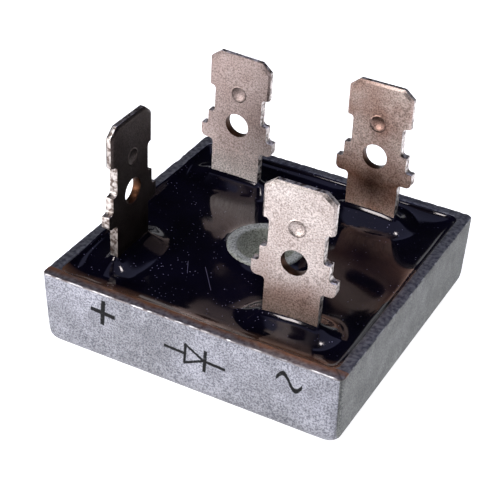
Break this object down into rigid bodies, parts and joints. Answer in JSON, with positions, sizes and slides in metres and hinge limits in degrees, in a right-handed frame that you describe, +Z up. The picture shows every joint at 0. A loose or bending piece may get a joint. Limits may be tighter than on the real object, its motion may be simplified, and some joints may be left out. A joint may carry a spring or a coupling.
{
  "type": "bridge rectifier",
  "caption": "Bridge rectifier in a square aluminium case with a screw bore through its middle and push-on blades for AC in and DC out",
  "frame": {"origin": "centre of the flat cooling face under the case", "axes": "+Z up out of the potting, -Y towards the face with the polarity marks, the positive blade at the -X, -Y corner"},
  "size_m": [0.0286, 0.0286, 0.0203],
  "materials": {
    "cast_aluminium": "satin die-cast aluminium, fine grained",
    "insulator": "filled epoxy, matte",
    "copper": "bare copper sheet",
    "solder": "solder, dull",
    "silicon": "silicon with metallised faces",
    "tinned_copper": "tin-plated copper strip, grainy, with a copper tint",
    "potting": "black epoxy, glossy"
  },
  "bodies": {
    "root": {"case": "cast_aluminium", "insulating_layer": "insulator", "plate_positive": "copper", "plate_negative": "copper", "solder_lower_1": "solder", "solder_lower_2": "solder", "solder_lower_3": "solder", "solder_lower_4": "solder", "die_1": "silicon", "die_2": "silicon", "die_3": "silicon", "die_4": "silicon", "solder_upper_1": "solder", "solder_upper_2": "solder", "solder_upper_3": "solder", "solder_upper_4": "solder", "strap_ac_front": "copper", "strap_ac_rear": "copper", "terminal_positive": "tinned_copper", "terminal_ac_front": "tinned_copper", "terminal_negative": "tinned_copper", "terminal_ac_rear": "tinned_copper", "potting": "potting"}
  },
  "joints": []
}
